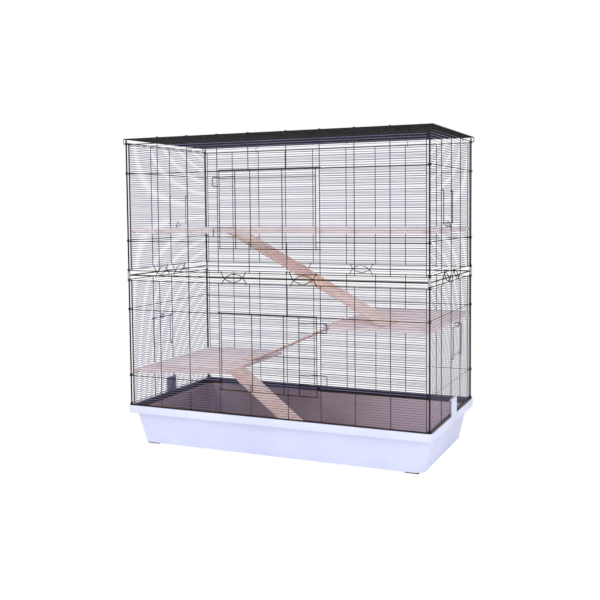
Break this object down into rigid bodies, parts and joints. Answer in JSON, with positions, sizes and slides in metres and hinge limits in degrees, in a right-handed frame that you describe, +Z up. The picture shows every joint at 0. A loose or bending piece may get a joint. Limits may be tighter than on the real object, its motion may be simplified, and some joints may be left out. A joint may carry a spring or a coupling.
{
  "type": "two-tier wire pet cage",
  "caption": "Tall two-tier welded wire cage on a moulded base tray, with latched front doors, side hatches, plywood shelves and ramps.",
  "frame": {"origin": "on the floor under the centre of the cage", "axes": "+X to the cage's right along its width, +Y to the back, +Z up; the doors face -Y"},
  "size_m": [1.0246, 0.518, 0.9944],
  "materials": {
    "coated_wire": "satin",
    "steel": "satin",
    "white_plastic": "gloss",
    "taupe_plastic": "satin",
    "black_plastic": "satin",
    "plywood": "matt",
    "ramp_wood": "matt"
  },
  "bodies": {
    "cage_frame": {"base_tray": "white_plastic", "litter_pan": "taupe_plastic", "seat_frame": "black_plastic", "foot_front_left": "black_plastic", "foot_front_right": "black_plastic", "foot_back_left": "black_plastic", "foot_back_right": "black_plastic", "panel_front_lower": "coated_wire", "panel_back_lower": "coated_wire", "panel_left_lower": "coated_wire", "panel_right_lower": "coated_wire", "panel_front_upper": "coated_wire", "panel_back_upper": "coated_wire", "panel_left_upper": "coated_wire", "panel_right_upper": "coated_wire", "roof_panel": "coated_wire", "rod_front_left_lower": "coated_wire", "rod_front_left_upper": "coated_wire", "rod_front_right_lower": "coated_wire", "rod_front_right_upper": "coated_wire", "rod_back_left_lower": "coated_wire", "rod_back_left_upper": "coated_wire", "rod_back_right_lower": "coated_wire", "rod_back_right_upper": "coated_wire", "sleeve_front_left": "steel", "sleeve_front_right": "steel", "sleeve_back_left": "steel", "sleeve_back_right": "steel", "rail_front": "coated_wire", "rail_back": "coated_wire", "rail_left": "coated_wire", "rail_right": "coated_wire", "shelf_top": "plywood", "shelf_middle": "plywood", "shelf_lower": "plywood", "ramp_upper": "ramp_wood", "ramp_middle": "ramp_wood", "ramp_lower": "ramp_wood"},
    "clip_left_body": {"clip_left": "white_plastic"},
    "clip_right_body": {"clip_right": "white_plastic"},
    "front_door_lower_body": {"front_door_lower": "coated_wire"},
    "front_latch_lower_body": {"front_latch_lower": "coated_wire"},
    "side_door_left_lower_body": {"side_door_left_lower": "coated_wire"},
    "side_hook_left_lower_body": {"side_hook_left_lower": "coated_wire"},
    "side_door_right_lower_body": {"side_door_right_lower": "coated_wire"},
    "side_hook_right_lower_body": {"side_hook_right_lower": "coated_wire"},
    "front_door_upper_body": {"front_door_upper": "coated_wire"},
    "front_latch_upper_body": {"front_latch_upper": "coated_wire"},
    "side_door_left_upper_body": {"side_door_left_upper": "coated_wire"},
    "side_hook_left_upper_body": {"side_hook_left_upper": "coated_wire"},
    "side_door_right_upper_body": {"side_door_right_upper": "coated_wire"},
    "side_hook_right_upper_body": {"side_hook_right_upper": "coated_wire"}
  },
  "joints": [
    {"name": "front_door_lower_hinge", "type": "hinge", "parent": "cage_frame", "child": "front_door_lower_body", "pos_m": [-0.17, -0.24791, 0.33119], "axis": [0, 0, -1], "range_deg": [0, 105]},
    {"name": "front_latch_lower_slide", "type": "slide", "parent": "front_door_lower_body", "child": "front_latch_lower_body", "axis": [-1, 0, 0], "range_m": [0, 0.03]},
    {"name": "front_door_upper_hinge", "type": "hinge", "parent": "cage_frame", "child": "front_door_upper_body", "pos_m": [0.17, -0.24791, 0.76869], "axis": [0, 0, 1], "range_deg": [0, 105]},
    {"name": "front_latch_upper_slide", "type": "slide", "parent": "front_door_upper_body", "child": "front_latch_upper_body", "axis": [1, 0, 0], "range_m": [0, 0.03]},
    {"name": "side_door_left_lower_hinge", "type": "hinge", "parent": "cage_frame", "child": "side_door_left_lower_body", "pos_m": [-0.5, -0.0575, 0.30179], "axis": [0, -1, 0], "range_deg": [0, 110]},
    {"name": "side_hook_left_lower_hinge", "type": "hinge", "parent": "side_door_left_lower_body", "child": "side_hook_left_lower_body", "pos_m": [-0.50277, -0.0575, 0.39659], "axis": [0, -1, 0], "range_deg": [0, 80]},
    {"name": "side_door_right_lower_hinge", "type": "hinge", "parent": "cage_frame", "child": "side_door_right_lower_body", "pos_m": [0.5, 0.0575, 0.30179], "axis": [0, 1, 0], "range_deg": [0, 110]},
    {"name": "side_hook_right_lower_hinge", "type": "hinge", "parent": "side_door_right_lower_body", "child": "side_hook_right_lower_body", "pos_m": [0.50277, 0.0575, 0.39659], "axis": [0, 1, 0], "range_deg": [0, 80]},
    {"name": "side_door_left_upper_hinge", "type": "hinge", "parent": "cage_frame", "child": "side_door_left_upper_body", "pos_m": [-0.5, 0.0575, 0.81129], "axis": [0, 1, 0], "range_deg": [0, 110]},
    {"name": "side_hook_left_upper_hinge", "type": "hinge", "parent": "side_door_left_upper_body", "child": "side_hook_left_upper_body", "pos_m": [-0.50277, 0.0575, 0.71649], "axis": [0, 1, 0], "range_deg": [0, 80]},
    {"name": "side_door_right_upper_hinge", "type": "hinge", "parent": "cage_frame", "child": "side_door_right_upper_body", "pos_m": [0.5, -0.0575, 0.81129], "axis": [0, -1, 0], "range_deg": [0, 110]},
    {"name": "side_hook_right_upper_hinge", "type": "hinge", "parent": "side_door_right_upper_body", "child": "side_hook_right_upper_body", "pos_m": [0.50277, -0.0575, 0.71649], "axis": [0, -1, 0], "range_deg": [0, 80]},
    {"name": "clip_left_hinge", "type": "hinge", "parent": "cage_frame", "child": "clip_left_body", "pos_m": [-0.507, 0, 0.11], "axis": [0, -1, 0], "range_deg": [0, 75]},
    {"name": "clip_right_hinge", "type": "hinge", "parent": "cage_frame", "child": "clip_right_body", "pos_m": [0.507, 0, 0.11], "axis": [0, 1, 0], "range_deg": [0, 75]}
  ]
}
